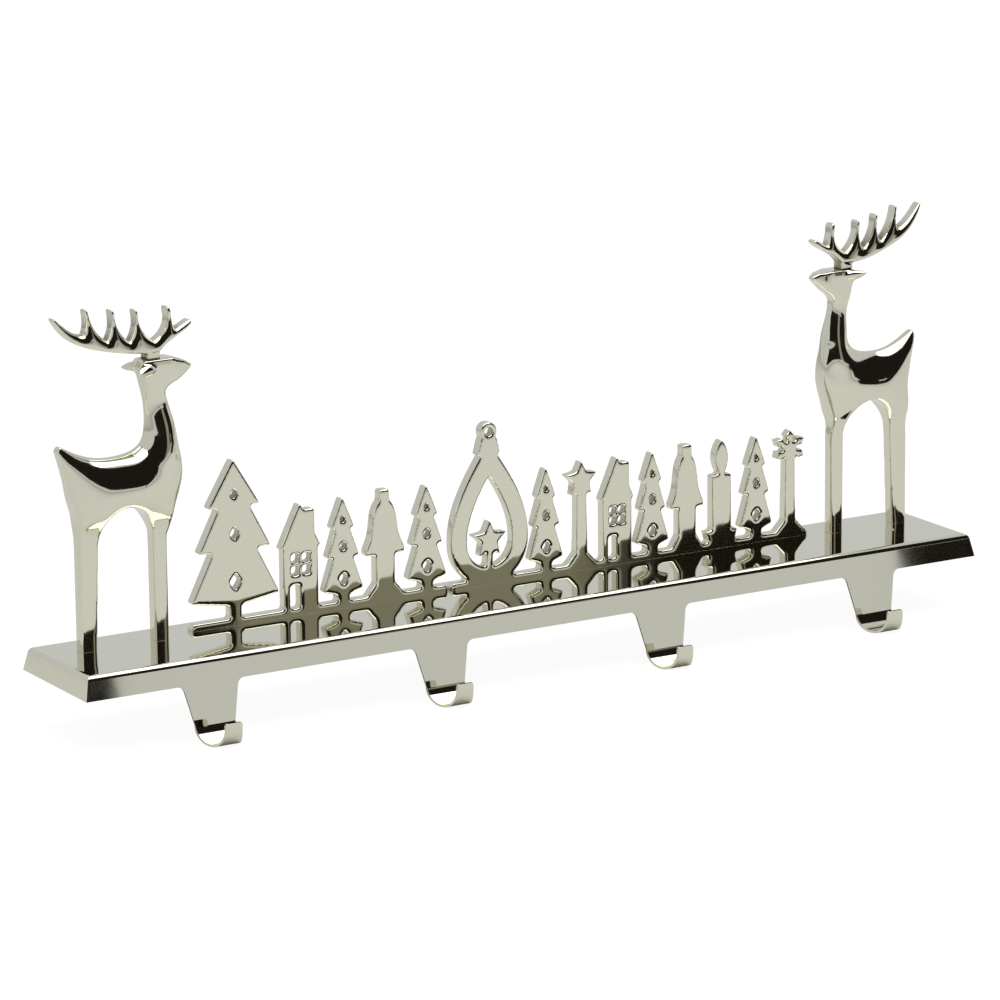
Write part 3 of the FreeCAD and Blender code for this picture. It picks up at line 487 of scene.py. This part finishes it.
def domed(piece, middle, on_rim, reach, least, weight):
    """Brings the sides in towards the rim. A vertex's distance from the middle plane shrinks along a quarter
    ellipse that is reach(co) long, down to the share least, and only by as much as weight(co) says."""
    rim = [vertex.co.copy() for vertex in piece.data.vertices
           if abs(vertex.normal.y) < RIM_TURN and on_rim(vertex)]
    near = KDTree(len(rim))
    for index, co in enumerate(rim):
        near.insert((co.x, 0, co.z), index)
    near.balance()
    for vertex in piece.data.vertices:
        co = vertex.co
        away = min(1.0, near.find((co.x, 0, co.z))[2] / reach(co))
        share = least + (1 - least) * math.sqrt(1 - (1 - away) ** 2)
        co.y = middle + (co.y - middle) * (1 + (share - 1) * weight(co))


def lengthened(bm, height):
    """Adds a runner: what lies at a height, such as the soles of the feet, moves down."""
    for vertex in bm.verts:
        if vertex.co.z < height + SOLE_DEPTH:
            vertex.co.z -= RUNNER


def sawn_flat(piece, height):
    """Cuts the piece off below a height and closes the cuts."""
    bm = bmesh.new()
    bm.from_mesh(piece.data)
    cut = bmesh.ops.bisect_plane(bm, geom=bm.verts[:] + bm.edges[:] + bm.faces[:], plane_co=(0, 0, height),
                                 plane_no=(0, 0, 1), clear_inner=True)
    rims = [item for item in cut["geom_cut"] if isinstance(item, bmesh.types.BMEdge)]
    bmesh.ops.triangle_fill(bm, edges=rims, use_beauty=True)
    bmesh.ops.recalc_face_normals(bm, faces=bm.faces)
    for face in bm.faces:
        face.smooth = abs(face.normal.z) < 0.999 or face.calc_center_median().z > height + 0.1 * MM
    bm.to_mesh(piece.data)
    bm.free()


# %% [markdown]
# A reindeer is one solid casting: a thick chest and flank, a slender neck, a blade-like nose and two ears
# that stay crisp, and a saddle that falls away to the tail. The back is domed down to its edge. The chest
# swells, and above it the sides of the neck are rasped to one even wedge, up to the throat. That wedge leans
# back enough to mirror the curtain, so the flank's dark patch runs on up the neck. Rounding would blunt the
# nose, ears, tail and crown, so a share of it is held back there.
#
# Places on it are in millimetres: heights from the soles of its feet, lengths ahead from the tip of its tail,
# and outward from its middle plane. Two such values are where a change begins and ends: a fall if they are
# called HIGH, or else a rise. The two of a RIM are the heights that it lies between.

# %% The two reindeer
TOP_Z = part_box("reindeer_left")[0].z
CROWN_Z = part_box("reindeer_left")[1].z
BODY_NET = 0.6 * MM
NOSE_AHEAD, NOSE_HEIGHT, NOSE_HELD = (60.0, 72.0), (118.0, 126.0), 0.75
EAR_OUTWARD, EAR_HEIGHT, EAR_HELD = (5.0, 6.2), (129.0, 132.0), 0.8
TAIL_AHEAD, TAIL_HEIGHT, TAIL_HELD = (1.0, 7.0), (92.0, 98.0), 0.7
CROWN_HEIGHT, CROWN_HELD = (136.0, 141.5), 0.7
TRUNK_LOW, TRUNK_HIGH, TRUNK_AHEAD = (66.0, 78.0), (118.0, 132.0), (2.0, 14.0)
RUMP_SHARE = 0.1
BACK_LOW, BACK_HIGH, BACK_RIM = (64.0, 76.0), (98.0, 112.0), (72.0, 106.0)
BACK_DOME, BACK_DOME_MORE, BACK_DOME_AHEAD, BACK_LEAST = 7.0, 12.0, (6.0, 24.0), 0.30
BACK_FACES_UP = 0.2
NECK_LOW, NECK_HIGH, NECK_RIM = (84.0, 106.0), (118.0, 129.0), (84.0, 128.0)
NECK_AHEAD = (34.0, 42.0)
NECK_DOME, NECK_LEAST = 8.5, 0.25
BREAST_SWELL, SHOULDER_SWELL, THROAT_SWELL = 0.20, 0.13, 0.34
BREAST_LOW, SHOULDER_LOW, THROAT_LOW = (66.0, 80.0), (86.0, 96.0), (88.0, 99.0)
SWELL_HIGH, SWELL_AHEAD = (105.0, 124.0), (28.0, 46.0)
WEDGE_TOP, WEDGE_HALF, WEDGE_SLOPE, WEDGE_RISE = 119.0, 4.1, 0.185, 23.0
CHEST_SLOPE, WEDGE_OVER = 0.25, 5.0
BODY_STEPS, BODY_GROWTH = 22, 0.3 * MM
TRUNK_STEPS, TRUNK_GROWTH = 56, 0.15 * MM


def reindeer_piece(name, facing):
    """One reindeer that faces +X (1) or -X (-1)."""
    low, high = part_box(name)
    middle = (low.y + high.y) / 2
    tail_x = low.x if facing > 0 else high.x
    bm = closed_copy(name, dissolve=False)
    lengthened(bm, TOP_Z)
    piece = netted(finished(name + "_piece", bm, cast_nickel), BODY_NET)

    def height(co):
        return (co.z - TOP_Z) / MM

    def ahead(co):
        return (co.x - tail_x) * facing / MM

    def nose(co):
        return ramp(ahead(co), *NOSE_AHEAD) * ramp(height(co), *NOSE_HEIGHT)

    def ear(co):
        return ramp(abs(co.y - middle) / MM, *EAR_OUTWARD) * ramp(height(co), *EAR_HEIGHT)

    def everywhere(co):
        tail = 1 - TAIL_HELD * (1 - ramp(ahead(co), *TAIL_AHEAD)) * ramp(height(co), *TAIL_HEIGHT)
        crown = 1 - CROWN_HELD * ramp(height(co), *CROWN_HEIGHT)
        return (1 - NOSE_HELD * nose(co)) * crown * (1 - EAR_HELD * ear(co)) * tail

    def trunk(co):
        along = RUMP_SHARE + (1 - RUMP_SHARE) * ramp(ahead(co), *TRUNK_AHEAD)
        return ramp(height(co), *TRUNK_LOW) * (1 - ramp(height(co), *TRUNK_HIGH)) * along

    def on_back(vertex):
        return BACK_RIM[0] < height(vertex.co) < BACK_RIM[1] and vertex.normal.z > BACK_FACES_UP

    def back_reach(co):
        return (BACK_DOME + BACK_DOME_MORE * ramp(ahead(co), *BACK_DOME_AHEAD)) * MM

    def back_share(co):
        return ramp(height(co), *BACK_LOW) * (1 - ramp(height(co), *BACK_HIGH))

    def on_neck(vertex):
        return NECK_RIM[0] < height(vertex.co) < NECK_RIM[1] and ahead(vertex.co) > NECK_AHEAD[0]

    def neck_share(co):
        fore = ramp(ahead(co), *NECK_AHEAD)
        return ramp(height(co), *NECK_LOW) * (1 - ramp(height(co), *NECK_HIGH)) * fore

    def swell(co):
        full = BREAST_SWELL * ramp(height(co), *BREAST_LOW)
        full += SHOULDER_SWELL * ramp(height(co), *SHOULDER_LOW)
        full += THROAT_SWELL * ramp(height(co), *THROAT_LOW)
        return full * (1 - ramp(height(co), *SWELL_HIGH)) * ramp(ahead(co), *SWELL_AHEAD)

    def half_width(co):
        below = WEDGE_TOP - height(co)
        wedge = WEDGE_SLOPE * max(0.0, min(below, WEDGE_RISE))
        chest = CHEST_SLOPE * max(0.0, below - WEDGE_RISE)
        return (WEDGE_HALF + wedge + chest) * MM

    for vertex in piece.data.vertices:
        vertex.co.y = middle + (vertex.co.y - middle) * (1 + swell(vertex.co))
    domed(piece, middle, on_back, back_reach, BACK_LEAST, back_share)
    domed(piece, middle, on_neck, lambda co: NECK_DOME * MM, NECK_LEAST, neck_share)
    for vertex in piece.data.vertices:
        if height(vertex.co) < WEDGE_TOP + WEDGE_OVER:
            half = half_width(vertex.co)
            vertex.co.y = min(middle + half, max(middle - half, vertex.co.y))
    weighted(piece, "everywhere", everywhere)
    weighted(piece, "trunk", trunk)
    relax(piece, "everywhere", BODY_STEPS)
    relax(piece, "trunk", TRUNK_STEPS)
    grow(piece, "everywhere", BODY_GROWTH)
    grow(piece, "trunk", TRUNK_GROWTH)
    applied(piece)
    sawn_flat(piece, TOP_Z)
    print(piece.name, len(piece.data.polygons), "faces")


reindeer_piece("reindeer_left", 1)
reindeer_piece("reindeer_right", -1)


# %% [markdown]
# A rack of antlers is a flat casting with its upper edge and its tines rounded by hand. The sides are domed
# towards whatever faces up, so the roots of the tines catch the dark curtain while the beam below stays
# light.

# %% The two antler racks
RACK_NET = 0.36 * MM
RACK_DOME = 6.0 * MM
RACK_LEAST = 0.60
STUB_HEIGHT = (1.0, 5.0)
RIM_ABOVE_SEAT = 3 * MM
RACK_FACES_UP = 0.12
RACK_STEPS, RACK_GROWTH = 34, 0.4 * MM


def antlers_piece(name):
    """One rack. Its stub keeps its own square form down to the seat on the head."""
    low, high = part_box(name)
    bm = closed_copy(name, dissolve=False)
    piece = netted(finished(name + "_piece", bm, rack_nickel), RACK_NET)

    def above_seat(co):
        return ramp((co.z - CROWN_Z) / MM, *STUB_HEIGHT)

    def faces_up(vertex):
        return vertex.normal.z > RACK_FACES_UP and vertex.co.z > CROWN_Z + RIM_ABOVE_SEAT

    domed(piece, (low.y + high.y) / 2, faces_up, lambda co: RACK_DOME, RACK_LEAST, above_seat)
    weighted(piece, "rack", above_seat)
    relax(piece, "rack", RACK_STEPS)
    grow(piece, "rack", RACK_GROWTH)
    applied(piece)
    print(piece.name, len(piece.data.polygons), "faces")


antlers_piece("antlers_left")
antlers_piece("antlers_right")


# %% [markdown]
# The friezes are flat castings too, but their faces stay flat like mirrors: only the corner is polished off,
# which draws a thin line, dark on top and bright at the side, round each motif. A fine net that is relaxed a
# few times rounds just those corners and leaves everything further in where it was.

# %% The two friezes
FRIEZE_NET = 0.6 * MM
FRIEZE_STEPS = 9


def frieze_piece(name):
    """One of the two rows of motifs, with its foot rail sawn flat where it stands on the tray."""
    foot_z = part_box(name)[0].z
    bm = closed_copy(name, dissolve=False)
    lengthened(bm, foot_z)
    piece = netted(finished(name + "_piece", bm, cast_nickel), FRIEZE_NET)
    weighted(piece, "edges", lambda co: 1.0)
    relax(piece, "edges", FRIEZE_STEPS)
    applied(piece)
    sawn_flat(piece, foot_z)
    print(piece.name, len(piece.data.polygons), "faces")


frieze_piece("frieze_left")
frieze_piece("frieze_right")


# %% [markdown]
# The tray is folded from one sheet. A press brake leaves a round fold whose bright and dark bands run the
# whole length, so the fold is opened a little here: each point of its round is put on a rounder one that
# meets the same two flats. The cut edges were only deburred, which a narrow bevel shows.

# %% The tray
FOLD_RADIUS = 2.0 * MM
SHOWN_RADIUS = 3.2 * MM
SHEET = 1.2 * MM
FLANGE_OUT, FLANGE_DOWN = 2.5, 12.0
FLARE = math.atan(FLANGE_OUT / FLANGE_DOWN)
DEBURRED = 0.2 * MM
SETBACK = math.tan((math.pi / 2 - FLARE) / 2)


def opened_folds(bm, low, high):
    """Widens the folds round the top, inside and out. low and high are the corners that the flat top and
    the leaning sides would meet at; a fold's centre lies SETBACK radii in from there and one radius down."""
    slack = 0.05 * MM
    for vertex in bm.verts:
        start = vertex.co.copy()
        for axis, sign, corner in ((0, 1, low.x), (0, -1, high.x), (1, 1, low.y), (1, -1, high.y)):
            inward = (start[axis] - corner) * sign - SETBACK * FOLD_RADIUS
            upward = start.z - (high.z - FOLD_RADIUS)
            from_centre = math.hypot(inward, upward)
            off_skin = min(abs(from_centre - FOLD_RADIUS), abs(from_centre - (FOLD_RADIUS - SHEET)))
            if inward > slack or upward < -slack or off_skin >= slack:
                continue
            wider = (from_centre + SHOWN_RADIUS - FOLD_RADIUS) / from_centre
            vertex.co[axis] = corner + sign * (SETBACK * SHOWN_RADIUS + inward * wider)
            vertex.co.z = high.z - SHOWN_RADIUS + upward * wider


def bevelled(piece, width, segments, angle):
    """Bevels every edge of the piece that is sharper than an angle in degrees, and evens its shading."""
    edge = piece.modifiers.new("edge", "BEVEL")
    edge.width = width
    edge.segments = segments
    edge.limit_method = "ANGLE"
    edge.angle_limit = math.radians(angle)
    edge.harden_normals = False
    edge.use_clamp_overlap = True
    even = piece.modifiers.new("even", "WEIGHTED_NORMAL")
    even.keep_sharp = False
    even.mode = "FACE_AREA"
    applied(piece)


bm = closed_copy("base_tray")
top_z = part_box("base_tray")[1].z
plate = [vertex.co.copy() for vertex in bm.verts if vertex.co.z > top_z - 0.0005 * MM]
setback = SETBACK * FOLD_RADIUS
tray_low = Vector([min(co[axis] for co in plate) - setback for axis in (0, 1)] + [0])
tray_high = Vector([max(co[axis] for co in plate) + setback for axis in (0, 1)] + [top_z])
print("plate and folds reach from", [round(v, 4) for v in tray_low.xy],
      "to", [round(v, 4) for v in tray_high.xy])
opened_folds(bm, tray_low, tray_high)
tray_piece = finished("base_tray_piece", bm, sheet_nickel)
bevelled(tray_piece, width=DEBURRED, segments=2, angle=40)
print(tray_piece.name, len(tray_piece.data.polygons), "faces")


# %% [markdown]
# The screws and the rubber feet are turned shapes, so each is a profile spun round an axis. A node holds
# several of a kind, and the box of each solid in it says where one stands and how large it is.

# %% Helpers: the lathe, and a piece of turned solids
SPUN_WELD = 0.001 * MM


def lathe(bm, profile, centre, steps=48):
    """Spins a profile of (radius, z) round an upright axis at centre; radius 0 closes at the axis."""
    verts = [bm.verts.new((centre[0] + radius, centre[1], z)) for radius, z in profile]
    edges = [bm.edges.new(pair) for pair in zip(verts, verts[1:])]
    bmesh.ops.spin(bm, geom=verts + edges, cent=(centre[0], centre[1], 0), axis=(0, 0, 1),
                   dvec=(0, 0, 0), angle=2 * math.pi, steps=steps, use_merge=True)


def rounding(radius, low_z, edge, parts):
    """The (radius, z) points of a rounded rim, from its underside to its side."""
    turns = [math.pi / 2 * i / parts for i in range(parts + 1)]
    return [(radius - edge + edge * math.sin(a), low_z + edge - edge * math.cos(a)) for a in turns]


def solids(name):
    """The boxes of a node's separate solids, each as (lowest corner, highest corner)."""
    bm = closed_copy(name)
    waiting = set(bm.verts)
    boxes = []
    while waiting:
        front = [waiting.pop()]
        found = list(front)
        while front:
            for edge in front.pop().link_edges:
                for vertex in edge.verts:
                    if vertex in waiting:
                        waiting.discard(vertex)
                        front.append(vertex)
                        found.append(vertex)
        boxes.append((Vector([min(v.co[i] for v in found) for i in range(3)]),
                      Vector([max(v.co[i] for v in found) for i in range(3)])))
    bm.free()
    return sorted(boxes, key=lambda pair: pair[0].x)


def turned(name, make, material):
    """A piece of turned solids, one at each solid of the node."""
    bm = bmesh.new()
    for low, high in solids(name):
        make(bm, low, high)
    bmesh.ops.remove_doubles(bm, verts=bm.verts, dist=SPUN_WELD)
    bmesh.ops.recalc_face_normals(bm, faces=bm.faces)
    piece = finished(name + "_piece", bm, material)
    piece.data.set_sharp_from_angle(angle=math.radians(40))
    print(piece.name, len(piece.data.polygons), "faces")


# %% [markdown]
# The screws pass up through the plate from below. Their rounded heads have a hexagon socket: a round one is
# spun, and its wall is then drawn out to six flats. A real thread winds up the shank, but rings of the same
# pitch look the same at this size and stay one closed skin.

# %% The screws
SOCKET_FLATS = 2.2 * MM
SOCKET_DEPTH = 1.3 * MM
HEAD_ROUND = 0.5 * MM
SHANK_RADIUS = 1.45 * MM
THREAD_PITCH = 0.5 * MM
THREAD_DEPTH = 0.18 * MM
THREAD_START = 0.2 * MM
POINT_SHARE = 0.8


def screw(bm, low, high):
    """Head with a rounded rim and a socket, shank with a ridged thread and a narrowed end."""
    centre = ((low.x + high.x) / 2, (low.y + high.y) / 2)
    head = (high.x - low.x) / 2
    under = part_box("base_tray")[1].z - SHEET
    floor_z = low.z + SOCKET_DEPTH
    profile = [(0, floor_z), (SOCKET_FLATS / 2, floor_z), (SOCKET_FLATS / 2, low.z)]
    profile += rounding(head, low.z, HEAD_ROUND, parts=4)
    profile += [(head, under), (SHANK_RADIUS, under), (SHANK_RADIUS, under + SHEET)]
    z = under + SHEET + THREAD_START
    while z < high.z - 2 * THREAD_PITCH:
        profile += [(SHANK_RADIUS - THREAD_DEPTH, z + THREAD_PITCH / 2), (SHANK_RADIUS, z + THREAD_PITCH)]
        z += THREAD_PITCH
    profile += [(SHANK_RADIUS * POINT_SHARE, high.z), (0, high.z)]
    before = set(bm.verts)
    lathe(bm, profile, centre, steps=36)
    for vertex in set(bm.verts) - before:
        across = Vector((vertex.co.x - centre[0], vertex.co.y - centre[1], 0))
        if abs(across.length - SOCKET_FLATS / 2) < 0.01 * MM and vertex.co.z < floor_z + 0.01 * MM:
            from_flat = (math.atan2(across.y, across.x) + math.pi / 6) % (math.pi / 3) - math.pi / 6
            across *= 1 / math.cos(from_flat)
            vertex.co.x = centre[0] + across.x
            vertex.co.y = centre[1] + across.y


for name in ("figure_screws", "frieze_screws"):
    turned(name, screw, screw_steel)


# %% [markdown]
# The feet are plain plugs of rubber glued under the plate. Their soles are rounded over as a mould leaves
# them, so that they don't mark the mantel.

# %% The feet
SOLE_ROUND = 0.7 * MM
PLUG_ROUND = 0.2 * MM


def foot(bm, low, high):
    """A plug whose sole edge is rounded over, and its top edge slightly."""
    centre = ((low.x + high.x) / 2, (low.y + high.y) / 2)
    radius = (high.x - low.x) / 2
    profile = [(0, low.z)] + rounding(radius, low.z, SOLE_ROUND, parts=6)
    profile += [(radius, high.z - PLUG_ROUND), (radius - PLUG_ROUND, high.z), (0, high.z)]
    lathe(bm, profile, centre)


for name in sorted(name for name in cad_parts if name.startswith("foot_")):
    turned(name, foot, foot_rubber)


# %% [markdown]
# The solids that the pieces stand for get a finish of the same kind, so that either can be shown.

# %% Finishes for the solids
FINISHES = {"base_tray": sheet_nickel, "figure_screws": screw_steel, "frieze_screws": screw_steel}
for name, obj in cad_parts.items():
    obj.data.materials.clear()
    obj.data.materials.append(foot_rubber if name.startswith("foot_") else FINISHES.get(name, cast_nickel))
print("finishes on", len(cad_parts), "solids")
